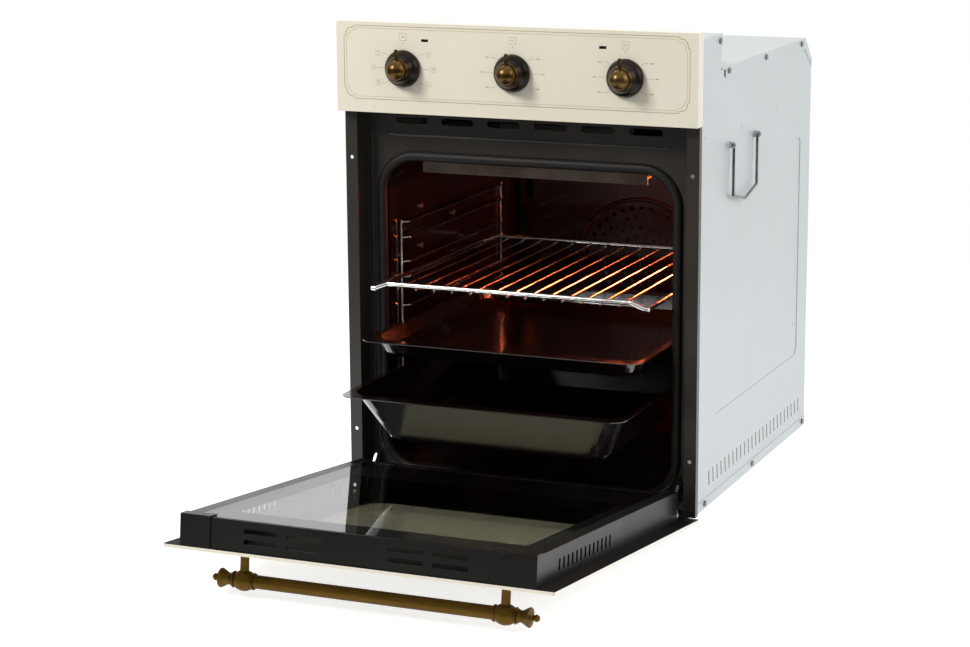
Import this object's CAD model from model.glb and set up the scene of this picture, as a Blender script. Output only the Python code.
import math

import bmesh
import bpy
from mathutils import Matrix, Vector


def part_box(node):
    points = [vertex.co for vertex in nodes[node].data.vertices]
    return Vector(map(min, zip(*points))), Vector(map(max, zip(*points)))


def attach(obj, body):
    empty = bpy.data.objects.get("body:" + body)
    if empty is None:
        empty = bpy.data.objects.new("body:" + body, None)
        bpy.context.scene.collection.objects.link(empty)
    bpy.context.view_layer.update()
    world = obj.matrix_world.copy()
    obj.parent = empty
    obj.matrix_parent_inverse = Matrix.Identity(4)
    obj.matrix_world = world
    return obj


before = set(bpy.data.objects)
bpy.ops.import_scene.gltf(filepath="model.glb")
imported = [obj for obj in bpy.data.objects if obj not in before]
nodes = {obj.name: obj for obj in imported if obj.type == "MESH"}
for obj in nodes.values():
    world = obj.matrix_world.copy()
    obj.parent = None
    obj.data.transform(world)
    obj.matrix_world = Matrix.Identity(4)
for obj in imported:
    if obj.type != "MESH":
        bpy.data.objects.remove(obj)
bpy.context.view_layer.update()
print("frame loaded")


# Colours and shader helpers

def linear(code):
    parts = [int(code[i:i + 2], 16) / 255 for i in (1, 3, 5)]
    return [p / 12.92 if p <= 0.04045 else ((p + 0.055) / 1.055) ** 2.4 for p in parts] + [1.0]


def addNode(tree, kind, values=None, **settings):
    item = tree.nodes.new(kind)
    for key, value in settings.items():
        setattr(item, key, value)
    for key, value in (values or {}).items():
        if isinstance(value, bpy.types.NodeSocket):
            tree.links.new(value, item.inputs[key])
        else:
            item.inputs[key].default_value = value
    return item


def newMaterial(name):
    material = bpy.data.materials.new(name)
    material.use_nodes = True
    tree = material.node_tree
    tree.nodes.clear()
    return material, tree


def finishTree(tree, shader):
    addNode(tree, "ShaderNodeOutputMaterial", {"Surface": shader})


def patternOn(tree, size, detail, stretch=(1, 1, 1)):
    # noise in patches about as wide as the size in millimetres
    place = addNode(tree, "ShaderNodeTexCoord").outputs["Object"]
    place = addNode(tree, "ShaderNodeMapping", {"Vector": place, "Scale": stretch}).outputs["Vector"]
    noise = addNode(tree, "ShaderNodeTexNoise", {"Vector": place, "Scale": 1000.0 / size, "Detail": detail})
    return noise.outputs["Fac"]


def makeSurface(name, look):
    material, tree = newMaterial(name)
    patch = patternOn(tree, look["patch"], 4.0, look["stretch"])
    patch = addNode(tree, "ShaderNodeMapRange", {"Value": patch, "From Min": 0.35, "From Max": 0.65}).outputs["Result"]
    colour = addNode(tree, "ShaderNodeMixRGB", {
        "Fac": patch, "Color1": linear(look["first"]), "Color2": linear(look["second"]),
    })
    rough = addNode(tree, "ShaderNodeMapRange", {
        "Value": patch, "To Min": look["rough"][0], "To Max": look["rough"][1],
    })
    values = {"Height": patternOn(tree, look["grain"], 2.0, look["stretch"]), "Strength": look["bump"],
              "Distance": look["relief"]}
    if "edge" in look:
        # a soft break along the sheet's folded edges
        values["Normal"] = addNode(tree, "ShaderNodeBevel", {"Radius": look["edge"]}, samples=4).outputs["Normal"]
    bump = addNode(tree, "ShaderNodeBump", values)
    body = addNode(tree, "ShaderNodeBsdfPrincipled", {
        "Base Color": colour.outputs["Color"],
        "Roughness": rough.outputs["Result"],
        "Metallic": look["metal"],
        "IOR": look["ior"],
        "Specular IOR Level": look["shine"],
        "Coat Weight": look["coat"],
        "Coat Roughness": look["coatRough"],
        "Normal": bump.outputs["Normal"],
    })
    finishTree(tree, body.outputs["BSDF"])
    return material


# Finishes of the real oven, each a settings dictionary

# what a finish has unless its own settings differ; patch and grain are widths in millimetres, relief is in metres
commonLook = {"patch": 170.0, "grain": 3.3, "stretch": (1, 1, 1), "bump": 0.02, "relief": 0.0005, "metal": 0.0,
              "ior": 1.5, "shine": 0.5, "coat": 0.0, "coatRough": 0.05}

# a grain finer than a millimetre or two is drawn coarser here, so that it shows
surfaces = {
    # cream vitreous enamel on steel, fired glossy, with a very slight orange peel 4 to 5 mm across
    "creamEnamel": {"first": "#ECE4CE", "second": "#EEE7D3", "rough": (0.22, 0.30), "ior": 1.52, "coat": 0.5,
                    "bump": 0.03, "grain": 4.5},
    # satin black vitreous enamel of the front frame
    "blackEnamel": {"first": "#2B2622", "second": "#322D28", "rough": (0.28, 0.38), "ior": 1.52, "coat": 0.15,
                    "bump": 0.04, "grain": 3.8, "shine": 0.35, "edge": 0.0006},
    # satin black powder coat of the door profiles
    "blackTrim": {"first": "#141311", "second": "#1A1816", "rough": (0.26, 0.36), "bump": 0.05, "grain": 1.4,
                  "shine": 0.2, "edge": 0.0005},
    # dark brown vitreous enamel of the cavity, fired glossy
    "ovenEnamel": {"first": "#0F0502", "second": "#160703", "rough": (0.14, 0.24), "ior": 1.52, "coat": 0.35,
                   "bump": 0.04, "grain": 5.5},
    # almost black vitreous enamel of the trays, slightly wavy, as deep-drawn sheet is
    "trayEnamel": {"first": "#0D0503", "second": "#140805", "rough": (0.12, 0.20), "ior": 1.52, "coat": 0.8,
                   "coatRough": 0.1, "bump": 0.4, "grain": 42.0, "shine": 0.6},
    # aluminised steel of the roof deflector, browned by heat
    "brownedSteel": {"first": "#64584E", "second": "#766A60", "rough": (0.22, 0.32), "metal": 0.8, "bump": 0.02,
                     "grain": 6.0, "patch": 60.0},
    # galvanised sheet with a pale passivation and a spangle about 11 mm across
    "galvanised": {"first": "#CACECE", "second": "#CED2D2", "rough": (0.42, 0.46), "metal": 0.35, "bump": 0.02,
                   "grain": 11.0, "patch": 110.0},
    # zinc-plated bolts, hinges and brackets
    "zinc": {"first": "#B9BBB8", "second": "#CFCFCA", "rough": (0.22, 0.34), "metal": 1.0, "bump": 0.03, "patch": 25.0},
    # darker zinc of the screw heads and of the carry handles' wire
    "screwSteel": {"first": "#6E706F", "second": "#8A8C8A", "rough": (0.25, 0.38), "metal": 1.0, "bump": 0.03,
                   "patch": 25.0},
    # resin-bonded mineral wool
    "mineralWool": {"first": "#9C8A4C", "second": "#BFAE74", "rough": (0.9, 1.0), "bump": 0.9, "grain": 2.6,
                    "patch": 17.0},
    # annealed stainless heating tube
    "heaterTube": {"first": "#2B2826", "second": "#45403B", "rough": (0.35, 0.55), "metal": 0.9, "bump": 0.05,
                   "patch": 33.0},
    # chromed wire
    "chrome": {"first": "#D6D6D4", "second": "#E6E6E3", "rough": (0.08, 0.16), "metal": 1.0, "bump": 0.01,
               "patch": 20.0},
    # stamped steel of the fan and the blower
    "fanSteel": {"first": "#8C8C88", "second": "#A6A6A1", "rough": (0.30, 0.45), "metal": 1.0, "bump": 0.04,
                 "patch": 33.0},
    # laminated motor steel under black lacquer, its sheets drawn as streaks across the stack
    "motorSteel": {"first": "#2E2E30", "second": "#4A4A4C", "rough": (0.35, 0.5), "metal": 0.7, "bump": 0.08,
                   "patch": 33.0, "stretch": (1, 8, 1)},
    # unglazed steatite lamp holder
    "steatite": {"first": "#DAD6CC", "second": "#E6E2D9", "rough": (0.6, 0.75), "ior": 1.55, "bump": 0.1, "grain": 2.0},
    # black thermoset moulding
    "blackMoulding": {"first": "#131313", "second": "#1D1D1D", "rough": (0.42, 0.55), "ior": 1.55, "bump": 0.06,
                      "grain": 1.7},
    # white thermoset moulding
    "whiteMoulding": {"first": "#D8D5CB", "second": "#E2DFD6", "rough": (0.4, 0.5), "ior": 1.55, "bump": 0.04,
                      "grain": 1.7},
    # smoked acrylic lens of the indicator lights, unlit
    "smokedLens": {"first": "#100D08", "second": "#1A140C", "rough": (0.12, 0.2), "ior": 1.49, "coat": 0.6,
                   "bump": 0.01},
    # cast and turned brass with a brushed antique patina, for the handle
    "antiqueBronze": {"first": "#584319", "second": "#6A5023", "rough": (0.44, 0.54), "metal": 1.0, "bump": 0.08,
                      "grain": 2.4, "patch": 71.0, "stretch": (1, 6, 6)},
    # die-cast knob skirts with a near-black bronze plating, satin
    "darkBronze": {"first": "#1F1B18", "second": "#352E29", "rough": (0.24, 0.36), "metal": 0.9, "bump": 0.06,
                   "patch": 25.0},
    # aged brass plating of the knob caps
    "agedBrass": {"first": "#564021", "second": "#6F5530", "rough": (0.27, 0.38), "metal": 1.0, "bump": 0.05,
                  "patch": 17.0},
    # thin gold-brown line print
    "goldPrint": {"first": "#A38C58", "second": "#B39C66", "rough": (0.3, 0.4), "metal": 0.4, "bump": 0.01},
    # fine grey-brown symbols printed on the panel
    "greyPrint": {"first": "#8E8474", "second": "#9B917F", "rough": (0.4, 0.5), "bump": 0.01},
}
finish = {name: makeSurface(name, {**commonLook, **look}) for name, look in surfaces.items()}


# The closed-door place of a point of the open door: the print on the panes is laid out by it

doorLook = {"front": -0.2951, "hingeDepth": 0.0083, "hingeHeight": 0.017, "openAngle": 83.4}
hinge = Vector((0.0, doorLook["front"] + doorLook["hingeDepth"], doorLook["hingeHeight"]))
doorAngle = math.radians(doorLook["openAngle"])


def alongClosed(tree, place, across, start):
    dot = addNode(tree, "ShaderNodeVectorMath", {0: place, 1: across}, operation="DOT_PRODUCT").outputs["Value"]
    shift = start - sum(a * b for a, b in zip(across, hinge))
    return addNode(tree, "ShaderNodeMath", {0: dot, 1: shift}, operation="ADD").outputs["Value"]


def closedPlace(tree):
    # height, and depth behind the glass front, of a point of the open door when the door is closed
    place = addNode(tree, "ShaderNodeTexCoord").outputs["Object"]
    height = alongClosed(tree, place, (0.0, -math.sin(doorAngle), math.cos(doorAngle)), hinge.z)
    depth = alongClosed(tree, place, (0.0, math.cos(doorAngle), math.sin(doorAngle)), doorLook["hingeDepth"])
    return place, height, depth


def windowMask(tree, place, height, look):
    # 1 within the window, whose corners are rounded, and 0 outside it
    middle = (look["low"] + look["high"]) / 2
    side = addNode(tree, "ShaderNodeSeparateXYZ", {"Vector": place}).outputs["X"]
    up = addNode(tree, "ShaderNodeMath", {0: height, 1: middle}, operation="SUBTRACT").outputs["Value"]
    beyond = []
    for distance, halfSize in ((side, look["halfWidth"]), (up, (look["high"] - look["low"]) / 2)):
        for operation, value in (("ABSOLUTE", 0.0), ("SUBTRACT", halfSize - look["radius"]), ("MAXIMUM", 0.0)):
            distance = addNode(tree, "ShaderNodeMath", {0: distance, 1: value}, operation=operation).outputs["Value"]
        beyond.append(distance)
    corner = addNode(tree, "ShaderNodeCombineXYZ", {"X": beyond[0], "Y": beyond[1]}).outputs["Vector"]
    away = addNode(tree, "ShaderNodeVectorMath", {0: corner}, operation="LENGTH").outputs["Value"]
    return addNode(tree, "ShaderNodeMath", {0: away, 1: look["radius"]}, operation="LESS_THAN").outputs["Value"]


def paneMaterial(name, look):
    material, tree = newMaterial(name)
    place, height, depth = closedPlace(tree)
    mask = windowMask(tree, place, height, look)
    rear = addNode(tree, "ShaderNodeMath", {0: depth, 1: look["split"]}, operation="GREATER_THAN").outputs["Value"]
    if look["clearRear"]:
        mask = addNode(tree, "ShaderNodeMath", {0: mask, 1: rear}, operation="MAXIMUM").outputs["Value"]
    # print that lies behind the glass has no gloss of its own: the face above it gives the reflection
    printed = addNode(tree, "ShaderNodeBsdfPrincipled", {
        "Base Color": linear(look["rear"]), "Roughness": 0.6, "Specular IOR Level": 0.15,
    }).outputs["BSDF"]
    if "front" in look:
        smudge = patternOn(tree, 110.0, 5.0)
        rough = addNode(tree, "ShaderNodeMapRange", {"Value": smudge, "To Min": 0.02, "To Max": 0.07}).outputs["Result"]
        glossy = addNode(tree, "ShaderNodeBsdfPrincipled", {
            "Base Color": linear(look["front"]), "Roughness": rough, "IOR": 1.52, "Specular IOR Level": 0.6,
            "Coat Weight": 1.0, "Coat Roughness": 0.02,
        }).outputs["BSDF"]
        printed = addNode(tree, "ShaderNodeMixShader", {0: rear, 1: glossy, 2: printed}).outputs["Shader"]
    clear = addNode(tree, "ShaderNodeBsdfTransparent", {"Color": linear(look["tint"])}).outputs["BSDF"]
    shine = addNode(tree, "ShaderNodeBsdfGlossy", {"Color": linear("#FBFBFF"), "Roughness": 0.02}).outputs["BSDF"]
    # rays cross the pane unbent, so its far face mirrors as much as the near one
    inside = addNode(tree, "ShaderNodeNewGeometry").outputs["Backfacing"]
    bend = addNode(tree, "ShaderNodeMapRange", {"Value": inside, "To Min": look["bend"], "To Max": 1 / look["bend"]})
    edge = addNode(tree, "ShaderNodeFresnel", {"IOR": bend.outputs["Result"]}).outputs["Fac"]
    window = addNode(tree, "ShaderNodeMixShader", {0: edge, 1: clear, 2: shine}).outputs["Shader"]
    finishTree(tree, addNode(tree, "ShaderNodeMixShader", {0: mask, 1: printed, 2: window}).outputs["Shader"])
    return material


panes = {
    # clear pane on the oven side of the door: a heat-reflecting coat mirrors more than plain glass, and a black border
    # is printed on its face towards the other pane
    "tintedPane": {"rear": "#050505", "tint": "#ECEBE2", "halfWidth": 0.1695, "low": 0.120, "high": 0.409,
                   "radius": 0.003, "split": 0.0361, "clearRear": True, "bend": 1.8},
    # tempered front glass: cream seen from the front, black from inside, with a tinted window
    "creamPane": {"front": "#EDE5D0", "rear": "#060605", "tint": "#EAE9DE", "halfWidth": 0.1545, "low": 0.0995,
                  "high": 0.280, "radius": 0.032, "split": 0.0036, "clearRear": False, "bend": 1.52},
}
for name, look in panes.items():
    finish[name] = paneMaterial(name, look)


def lampGlass(look):
    material, tree = newMaterial("litGlass")
    body = addNode(tree, "ShaderNodeBsdfPrincipled", {
        "Base Color": linear(look["tint"]), "Roughness": look["rough"], "Transmission Weight": look["clear"],
        "Emission Color": linear(look["glow"]), "Emission Strength": look["strength"],
    })
    finishTree(tree, body.outputs["BSDF"])
    return material


def bulbGlow(look):
    material, tree = newMaterial("litBulb")
    glow = addNode(tree, "ShaderNodeEmission", {"Color": linear(look["glow"]), "Strength": look["strength"]})
    finishTree(tree, glow.outputs["Emission"])
    return material


def sealMaterial(look):
    material, tree = newMaterial("braidedSeal")
    place = addNode(tree, "ShaderNodeTexCoord").outputs["Object"]
    braid = addNode(tree, "ShaderNodeTexWave", {
        "Vector": place, "Scale": look["braid"], "Distortion": 1.5, "Detail": 1.0,
    }, bands_direction="DIAGONAL").outputs["Fac"]
    colour = addNode(tree, "ShaderNodeMixRGB", {
        "Fac": braid, "Color1": linear(look["first"]), "Color2": linear(look["second"]),
    })
    bump = addNode(tree, "ShaderNodeBump", {"Height": braid, "Strength": look["bump"], "Distance": look["relief"]})
    body = addNode(tree, "ShaderNodeBsdfPrincipled", {
        "Base Color": colour.outputs["Color"], "Roughness": look["rough"], "Specular IOR Level": look["shine"],
        "Normal": bump.outputs["Normal"],
    })
    finishTree(tree, body.outputs["BSDF"])
    return material


# frosted lamp glass, lit from inside
finish["litGlass"] = lampGlass({"tint": "#FFE2B0", "rough": 0.15, "clear": 0.8, "glow": "#FFB25A", "strength": 6.0})
# glowing filament bulb
finish["litBulb"] = bulbGlow({"glow": "#FFC37A", "strength": 30.0})
# braided glass-fibre and silicone seal
finish["braidedSeal"] = sealMaterial({"first": "#0D0B0A", "second": "#191513", "rough": 0.5, "shine": 0.3,
                                      "braid": 160.0, "bump": 0.35, "relief": 0.0006})

nodeFinish = {
    "creamEnamel": ["control_panel"],
    "blackEnamel": ["front_frame"],
    "brownedSteel": ["roof_deflector"],
    "ovenEnamel": ["cavity", "fan_cover"],
    "trayEnamel": ["baking_tray", "deep_tray"],
    "braidedSeal": ["door_seal"],
    "galvanised": ["side_panel_left", "side_panel_right", "top_cover", "control_box", "control_lid", "rear_panel",
                   "base_tray", "cooling_duct", "blower_housing", "bail_ears"],
    "mineralWool": ["insulation"],
    "heaterTube": ["grill_element", "bottom_element", "ring_element"],
    "motorSteel": ["fan_motor", "blower_motor"],
    "fanSteel": ["convection_fan", "blower_rotor", "thermostat"],
    "steatite": ["lamp_holder"],
    "litBulb": ["lamp_bulb"],
    "litGlass": ["lamp_glass"],
    "chrome": ["rack_left", "rack_right", "wire_shelf"],
    "zinc": ["rack_bolts", "hinge_arms", "hinge_housings", "hinge_pins"],
    "screwSteel": ["casing_screws", "carry_handle_left", "carry_handle_right"],
    "blackMoulding": ["function_switch", "cable_gland"],
    "whiteMoulding": ["timer", "terminal_block"],
    "smokedLens": ["indicator_lenses"],
    "creamPane": ["outer_glass"],
    "tintedPane": ["inner_glass"],
    "blackTrim": ["door_top_trim", "door_end_caps", "door_side_profiles", "door_bottom_rail"],
    "antiqueBronze": ["handle_bar", "handle_brackets", "handle_finials"],
    "darkBronze": ["function_knob", "timer_knob", "thermostat_knob"],
    "agedBrass": ["function_knob_cap", "timer_knob_cap", "thermostat_knob_cap"],
}
for name, members in nodeFinish.items():
    for member in members:
        mesh = nodes[member].data
        mesh.materials.clear()
        mesh.materials.append(finish[name])
print("finishes applied")


# Thin prints: strips and discs laid out in millimetres on the front, with a small gap in metres before the face

printGap = 0.00005
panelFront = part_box("control_panel")[0][1]
printLift = panelFront - printGap


def strip(build, points, width, closed=False):
    count = len(points)
    pairs = []
    for i, point in enumerate(points):
        before = points[(i - 1) % count] if closed or i > 0 else None
        after = points[(i + 1) % count] if closed or i < count - 1 else None
        direction = Vector((0.0, 0.0))
        if before is not None:
            direction += (Vector(point) - Vector(before)).normalized()
        if after is not None:
            direction += (Vector(after) - Vector(point)).normalized()
        direction.normalize()
        normal = Vector((-direction.y, direction.x)) * width / 2
        pairs.append([build.verts.new(((point[0] + s * normal.x) / 1000, printLift, (point[1] + s * normal.y) / 1000))
                      for s in (1, -1)])
    for i in range(count if closed else count - 1):
        a = pairs[i]
        b = pairs[(i + 1) % count]
        build.faces.new((a[0], a[1], b[1], b[0]))


def disc(build, centre, radius, sides):
    angles = [2 * math.pi * i / sides for i in range(sides)]
    build.faces.new([build.verts.new(((centre[0] + radius * math.cos(angle)) / 1000, printLift,
                                      (centre[1] + radius * math.sin(angle)) / 1000)) for angle in angles])


def meshPiece(name, build, material, body, matrix=None):
    mesh = bpy.data.meshes.new(name)
    build.to_mesh(mesh)
    build.free()
    if matrix is not None:
        mesh.transform(matrix)
    mesh.materials.append(material)
    piece = bpy.data.objects.new(name, mesh)
    bpy.context.scene.collection.objects.link(piece)
    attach(piece, body)


def borderPoints(left, right, low, high, notch, step):
    # one corner, from the vertical line round to the horizontal one, with a small step at each end of its arc
    slant = step * 0.6
    arcParts = 6
    corner = [(0.0, notch + step), (step, notch + slant)]
    for i in range(arcParts + 1):
        angle = math.pi / 2 * i / arcParts
        corner.append((step + (notch - step) * (1 - math.cos(angle)), notch - (notch - step) * math.sin(angle)))
    corner += [(notch + slant, step), (notch + step, 0.0)]
    points = [(left + x, low + z) for x, z in corner]
    points += [(right - x, low + z) for x, z in reversed(corner)]
    points += [(right - x, high - z) for x, z in corner]
    points += [(left + x, high - z) for x, z in reversed(corner)]
    return points


def borderPrint(name, look, body, matrix=None):
    build = bmesh.new()
    for width, edges in look["lines"].items():
        strip(build, borderPoints(*edges, look["notch"], look["step"]), width, True)
    meshPiece(name, build, finish["goldPrint"], body, matrix)


# left, right, low and high edge of each line of the border, by the line's width
panelBorder = {"notch": 11.0, "step": 2.4,
               "lines": {0.7: (-217.5, 217.5, 496.0, 583.5), 0.35: (-214.5, 214.5, 499.0, 580.5)}}
borderPrint("panel_border_print", panelBorder, "oven")

# marks round the knobs, in millimetres: centres and height place the knobs, the rest is measured from there
marks = {"centres": (-140.0, 0.0, 140.0), "height": 534.0, "angles": (52, 90, 128, 232, 270, 308),
         "rim": 24.5, "bend": 28.5, "out": 6.0, "line": 0.35,
         "frameRise": 37.5, "frameSize": 8.4, "frameLine": 0.45, "pointRise": 30.0, "pointSize": 0.7,
         "pictureOut": 4.6, "dotsOut": (2.6, 4.8), "dotSize": 0.8}
# the pictures in the small squares
picture = {"size": 5.6, "line": 0.35, "bar": 0.4, "half": 1.8, "rise": 1.5, "wave": 0.8, "dot": 0.8}


def square(build, x, z, size, width):
    half = size / 2
    strip(build, [(x - half, z - half), (x + half, z - half), (x + half, z + half), (x - half, z + half)], width, True)


def leader(build, x, angle, side):
    # a short slanting line from the knob's rim that turns level towards its mark
    start, bend = [(x + math.sin(angle) * reach, marks["height"] + math.cos(angle) * reach)
                   for reach in (marks["rim"], marks["bend"])]
    end = (bend[0] + side * marks["out"], bend[1])
    strip(build, [start, bend, end], marks["line"])
    return end


def smallSquareMark(build, x, z, kind):
    # made-up pictograms of oven functions: a small square with bars, a dot or a wave inside
    half, rise, wave = picture["half"], picture["rise"], picture["wave"]
    square(build, x, z, picture["size"], picture["line"])
    if kind % 2 == 0:
        strip(build, [(x - half, z + rise), (x + half, z + rise)], picture["bar"])
    if kind % 3 == 0:
        strip(build, [(x - half, z - rise), (x + half, z - rise)], picture["bar"])
    if kind % 3 == 1:
        disc(build, (x, z), picture["dot"], 10)
    if kind % 3 == 2:
        strip(build, [(x - half, z), (x - half / 2, z + wave), (x, z), (x + half / 2, z - wave), (x + half, z)],
              picture["line"])


build = bmesh.new()
for index, x in enumerate(marks["centres"]):
    square(build, x, marks["height"] + marks["frameRise"], marks["frameSize"], marks["frameLine"])
    disc(build, (x, marks["height"] + marks["pointRise"]), marks["pointSize"], 12)
    for kind, angle in enumerate(marks["angles"], start=1):
        side = 1 if angle < 180 else -1
        end = leader(build, x, math.radians(angle), side)
        if index == 0:
            smallSquareMark(build, end[0] + side * marks["pictureOut"], end[1], kind)
        else:
            for out in marks["dotsOut"]:
                disc(build, (end[0] + side * out, end[1]), marks["dotSize"], 10)
meshPiece("panel_symbol_print", build, finish["greyPrint"], "oven")

# the sign in each knob's square frame: a dot, a chevron, and two strokes
signStrokes = [
    (1, 0.5, [(-1.4, 1.2), (0.0, -0.9), (1.4, 1.2)]),
    (2, 0.4, [(-1.6, 2.0), (-1.6, -2.0)]),
    (2, 0.4, [(0.4, 2.0), (0.4, -0.2), (1.8, -1.9)]),
]
signHeight = marks["height"] + marks["frameRise"]
build = bmesh.new()
disc(build, (marks["centres"][0], signHeight), 0.9, 12)
for index, width, points in signStrokes:
    strip(build, [(marks["centres"][index] + x, signHeight + z) for x, z in points], width)
meshPiece("panel_icon_print", build, finish["greyPrint"], "oven")
print("panel print made")

# The same border on the outer glass of the door, drawn closed and turned to the open stop

doorOpen = Matrix.Translation(hinge) @ Matrix.Rotation(doorAngle, 4, "X") @ Matrix.Translation(-hinge)
doorBorder = {"notch": 13.0, "step": 2.6,
              "lines": {0.8: (-217.5, 217.5, 14.0, 466.0), 0.4: (-214.5, 214.5, 17.0, 463.0)}}
borderPrint("door_border_print", doorBorder, "door", doorOpen)
print("door print made")


# Cross recesses in the casing screws, instanced on the screw heads

def islandBoxes(obj, span):
    # the low and high corner of each group of vertices that lie within the span of the group's first one
    groups = []
    for vertex in obj.data.vertices:
        for group in groups:
            if (group[0] - vertex.co).length < span:
                group.append(vertex.co.copy())
                break
        else:
            groups.append([vertex.co.copy()])
    return [[Vector([pick(point[i] for point in group) for i in range(3)]) for pick in (min, max)] for group in groups]


# metres; sink is how far inside the flat heads the crosses lie, so they don't show in a render; on the side panels
# the turn of a cross follows from its place
screwMarks = {"arm": 0.0021, "width": 0.0007, "sink": 0.00002, "turnPerMetre": 24.0, "headSpan": 0.0085,
              "edgeReach": 1e-4}
crossBuild = bmesh.new()
for along, across in ((screwMarks["arm"], screwMarks["width"]), (screwMarks["width"], screwMarks["arm"])):
    corners = [crossBuild.verts.new((0.0, a * along, b * across)) for a, b in ((-1, -1), (1, -1), (1, 1), (-1, 1))]
    crossBuild.faces.new(corners)
crossMesh = bpy.data.meshes.new("cross_recess")
crossBuild.to_mesh(crossMesh)
crossBuild.free()
crossObject = bpy.data.objects.new("cross_recess_source", crossMesh)

pointBuild = bmesh.new()
turnLayer = pointBuild.verts.layers.float_vector.new("turn")
caseEdge = max(v.co.x for v in nodes["casing_screws"].data.vertices)
rearEdge = max(v.co.y for v in nodes["casing_screws"].data.vertices)
for low, high in islandBoxes(nodes["casing_screws"], screwMarks["headSpan"]):
    middle = (low + high) / 2
    side = 1 if middle.x > 0 else -1
    outermost = high.x if side > 0 else -low.x
    if abs(outermost - caseEdge) < screwMarks["edgeReach"]:
        vertex = pointBuild.verts.new((side * (caseEdge - screwMarks["sink"]), middle.y, middle.z))
        vertex[turnLayer] = (screwMarks["turnPerMetre"] * middle.y, 0.0, 0.0 if side > 0 else math.pi)
    elif abs(high.y - rearEdge) < screwMarks["edgeReach"]:
        vertex = pointBuild.verts.new((middle.x, rearEdge - screwMarks["sink"], middle.z))
        vertex[turnLayer] = (0.0, 0.0, math.pi / 2)
pointMesh = bpy.data.meshes.new("screw_points")
pointBuild.to_mesh(pointMesh)
pointBuild.free()
pointObject = bpy.data.objects.new("screw_points", pointMesh)
bpy.context.scene.collection.objects.link(pointObject)


def instanceGroup(name):
    group = bpy.data.node_groups.new(name, "GeometryNodeTree")
    for label, way, kind in (("Geometry", "INPUT", "NodeSocketGeometry"), ("Piece", "INPUT", "NodeSocketObject"),
                             ("Finish", "INPUT", "NodeSocketMaterial"), ("Geometry", "OUTPUT", "NodeSocketGeometry")):
        group.interface.new_socket(label, in_out=way, socket_type=kind)
    start = addNode(group, "NodeGroupInput")
    piece = addNode(group, "GeometryNodeObjectInfo", {"Object": start.outputs["Piece"]})
    turn = addNode(group, "GeometryNodeInputNamedAttribute", {"Name": "turn"}, data_type="FLOAT_VECTOR")
    spread = addNode(group, "GeometryNodeInstanceOnPoints", {
        "Points": start.outputs["Geometry"], "Instance": piece.outputs["Geometry"],
        "Rotation": turn.outputs["Attribute"],
    })
    real = addNode(group, "GeometryNodeRealizeInstances", {"Geometry": spread.outputs["Instances"]})
    done = addNode(group, "GeometryNodeSetMaterial", {
        "Geometry": real.outputs["Geometry"], "Material": start.outputs["Finish"],
    })
    addNode(group, "NodeGroupOutput", {"Geometry": done.outputs["Geometry"]})
    return group


def applyNodes(target, group, values, name, body):
    modifier = target.modifiers.new("instances", "NODES")
    modifier.node_group = group
    for item in group.interface.items_tree:
        if item.in_out == "INPUT" and item.name in values:
            modifier[item.identifier] = values[item.name]
    bpy.context.view_layer.update()
    seen = bpy.context.evaluated_depsgraph_get()
    mesh = bpy.data.meshes.new_from_object(target.evaluated_get(seen))
    target.modifiers.remove(modifier)
    piece = bpy.data.objects.new(name, mesh)
    bpy.context.scene.collection.objects.link(piece)
    bpy.data.objects.remove(target)
    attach(piece, body)


screwGroup = instanceGroup("instancesOnPoints")
applyNodes(pointObject, screwGroup, {"Piece": crossObject, "Finish": finish["blackMoulding"]}, "screw_recesses", "oven")
bpy.data.objects.remove(crossObject)
print("screw recesses made")


# Camera, solved from the photo's edges

cameraLook = {"place": (1.1248, -3.0458, 0.8842), "yaw": 22.894, "pitch": 12.317, "roll": -0.368, "lens": 94.73,
              "sensor": 36.0, "far": 50.0}
cameraData = bpy.data.cameras.new("photoCamera")
cameraData.sensor_fit = "HORIZONTAL"
cameraData.sensor_width = cameraLook["sensor"]
cameraData.lens = cameraLook["lens"]
cameraData.clip_end = cameraLook["far"]
camera = bpy.data.objects.new("photoCamera", cameraData)
camera.rotation_mode = "QUATERNION"
turn = Matrix.Rotation(math.radians(cameraLook["yaw"]), 4, "Z")
turn = turn @ Matrix.Rotation(math.radians(90 - cameraLook["pitch"]), 4, "X")
turn = turn @ Matrix.Rotation(math.radians(cameraLook["roll"]), 4, "Z")
camera.matrix_world = Matrix.Translation(cameraLook["place"]) @ turn
bpy.context.scene.collection.objects.link(camera)
bpy.context.scene.camera = camera


# Studio: white background, pale floor, a key from the upper left and a large fill from the right

# what lights the oven grows paler upwards; reflections see a bright backdrop behind the oven, a pale ceiling and a dim
# room in front of it; the camera sees plain white, straight and through glass
worldLook = {"low": "#B9BABC", "high": "#F4F6F8", "strength": 0.58, "room": "#6A6764", "white": "#FFFFFF", "plain": 1.0,
             "skyRange": {"From Max": 0.6, "To Min": 0.4}, "backdropRange": {"From Max": 0.44},
             "ceilingRange": {"From Min": 0.1, "From Max": 0.6, "To Max": 0.7}}
world = bpy.data.worlds.new("studio")
world.use_nodes = True
tree = world.node_tree
tree.nodes.clear()
rays = addNode(tree, "ShaderNodeLightPath").outputs
direct = addNode(tree, "ShaderNodeBackground", {"Color": linear(worldLook["white"]), "Strength": worldLook["plain"]})
way = addNode(tree, "ShaderNodeTexCoord").outputs["Generated"]
way = addNode(tree, "ShaderNodeSeparateXYZ", {"Vector": way}).outputs
up = addNode(tree, "ShaderNodeMapRange", {"Value": way["Z"], **worldLook["skyRange"]}).outputs["Result"]
sky = addNode(tree, "ShaderNodeMixRGB", {
    "Fac": up, "Color1": linear(worldLook["low"]), "Color2": linear(worldLook["high"]),
})
soft = addNode(tree, "ShaderNodeBackground", {"Color": sky.outputs["Color"], "Strength": worldLook["strength"]})
back = addNode(tree, "ShaderNodeMapRange", {"Value": way["Y"], **worldLook["backdropRange"]}).outputs["Result"]
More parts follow.
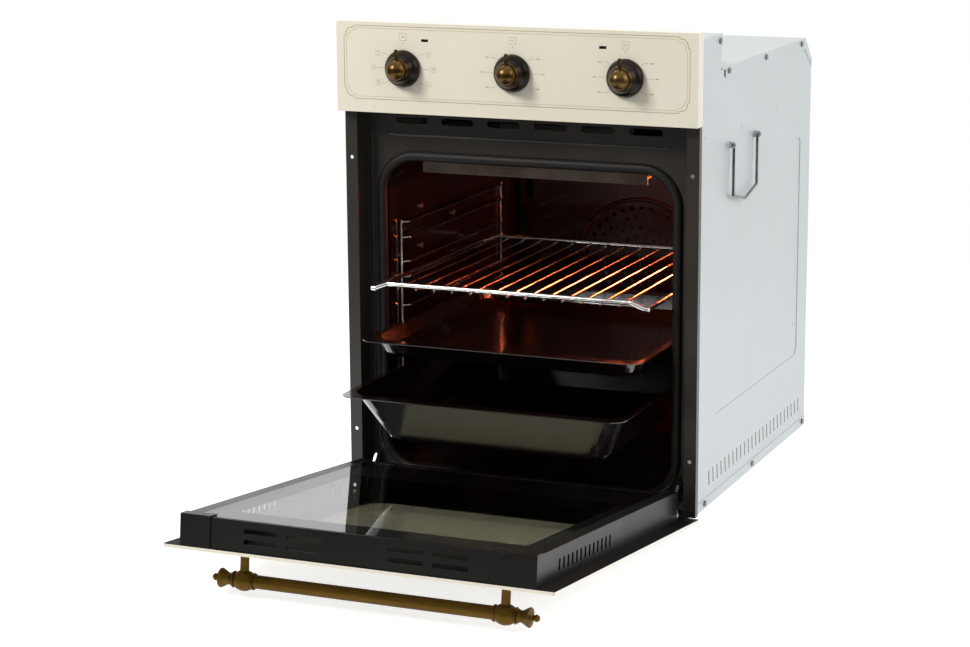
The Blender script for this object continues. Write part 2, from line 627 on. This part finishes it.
above = addNode(tree, "ShaderNodeMapRange", {"Value": way["Z"], **worldLook["ceilingRange"]}).outputs["Result"]
bright = addNode(tree, "ShaderNodeMath", {0: back, 1: above}, operation="MAXIMUM").outputs["Value"]
room = addNode(tree, "ShaderNodeMixRGB", {
    "Fac": bright, "Color1": linear(worldLook["room"]), "Color2": linear(worldLook["white"]),
})
mirrored = addNode(tree, "ShaderNodeBackground", {"Color": room.outputs["Color"], "Strength": worldLook["plain"]})
mixed = addNode(tree, "ShaderNodeMixShader", {0: rays["Is Glossy Ray"], 1: soft.outputs["Background"],
                                              2: mirrored.outputs["Background"]})
plain = addNode(tree, "ShaderNodeMath", {0: rays["Is Camera Ray"], 1: rays["Is Transmission Ray"]},
                operation="MAXIMUM").outputs["Value"]
mixed = addNode(tree, "ShaderNodeMixShader", {0: plain, 1: mixed.outputs["Shader"],
                                              2: direct.outputs["Background"]})
addNode(tree, "ShaderNodeOutputWorld", {"Surface": mixed.outputs["Shader"]})
bpy.context.scene.world = world
bpy.context.scene.view_settings.view_transform = "Standard"


def areaLight(name, look):
    data = bpy.data.lights.new(name, "AREA")
    data.shape = "RECTANGLE"
    data.size, data.size_y = look["size"]
    data.energy = look["power"]
    data.color = linear(look["colour"])[:3]
    light = bpy.data.objects.new(name, data)
    place = Vector(look["place"])
    aim = (Vector(look["aim"]) - place).to_track_quat("-Z", "Y")
    light.matrix_world = Matrix.Translation(place) @ aim.to_matrix().to_4x4()
    bpy.context.scene.collection.objects.link(light)


lights = {
    "keySoftbox": {"place": (-1.5, -2.3, 2.3), "aim": (0.0, -0.2, 0.35), "size": (0.8, 0.8), "power": 68.0,
                   "colour": "#FFFFFF"},
    "rightFill": {"place": (2.6, 0.25, 1.6), "aim": (0.1, 0.05, 0.45), "size": (1.6, 1.8), "power": 40.0,
                  "colour": "#F6FAFF"},
    "topLight": {"place": (0.1, 0.3, 2.6), "aim": (0.1, 0.0, 0.4), "size": (1.6, 1.6), "power": 6.0,
                 "colour": "#FFFFFF"},
}
for name, look in lights.items():
    areaLight(name, look)

# The glow of the oven lamp, as deep in the cavity as its highlights on the shelf wires ask for
lampLook = {"place": (0.150, 0.085, 0.366), "power": 3.7, "colour": "#FF6B3F", "radius": 0.03}
lampData = bpy.data.lights.new("ovenLamp", "POINT")
lampData.energy = lampLook["power"]
lampData.color = linear(lampLook["colour"])[:3]
lampData.shadow_soft_size = lampLook["radius"]
lamp = bpy.data.objects.new("ovenLamp", lampData)
lamp.matrix_world = Matrix.Translation(lampLook["place"])
bpy.context.scene.collection.objects.link(lamp)


# metres; level is just under the oven's flat base, and the paper fades out from near to far
floorLook = {"colour": "#D2D2D2", "rough": 0.9, "shine": 0.1, "lift": 0.72, "near": 0.95, "far": 1.5, "halfSize": 14.0,
             "level": -0.0004}


def floorMaterial():
    # matt white paper; what is seen of it directly, mirrored or through the glass is lifted to the backdrop's white
    material, tree = newMaterial("paperFloor")
    rays = addNode(tree, "ShaderNodeLightPath").outputs
    seen = rays["Is Camera Ray"]
    for ray in ("Is Glossy Ray", "Is Transmission Ray"):
        seen = addNode(tree, "ShaderNodeMath", {0: seen, 1: rays[ray]}, operation="MAXIMUM").outputs["Value"]
    lift = addNode(tree, "ShaderNodeMath", {0: seen, 1: floorLook["lift"]}, operation="MULTIPLY").outputs["Value"]
    body = addNode(tree, "ShaderNodeBsdfPrincipled", {
        "Base Color": linear(floorLook["colour"]), "Roughness": floorLook["rough"],
        "Specular IOR Level": floorLook["shine"], "Emission Color": linear("#FFFFFF"), "Emission Strength": lift,
    }).outputs["BSDF"]
    place = addNode(tree, "ShaderNodeTexCoord").outputs["Object"]
    away = addNode(tree, "ShaderNodeVectorMath", {0: place}, operation="LENGTH").outputs["Value"]
    fade = addNode(tree, "ShaderNodeMapRange", {
        "Value": away, "From Min": floorLook["near"], "From Max": floorLook["far"],
    }).outputs["Result"]
    gone = addNode(tree, "ShaderNodeBsdfTransparent").outputs["BSDF"]
    finishTree(tree, addNode(tree, "ShaderNodeMixShader", {0: fade, 1: body, 2: gone}).outputs["Shader"])
    return material


floorBuild = bmesh.new()
bmesh.ops.create_grid(floorBuild, x_segments=1, y_segments=1, size=floorLook["halfSize"])
floorMesh = bpy.data.meshes.new("paper_floor")
floorBuild.to_mesh(floorMesh)
floorBuild.free()
floorMesh.transform(Matrix.Translation((0.0, 0.0, floorLook["level"])))
floorMesh.materials.append(floorMaterial())
floor = bpy.data.objects.new("paper_floor", floorMesh)
bpy.context.scene.collection.objects.link(floor)
print("studio ready")
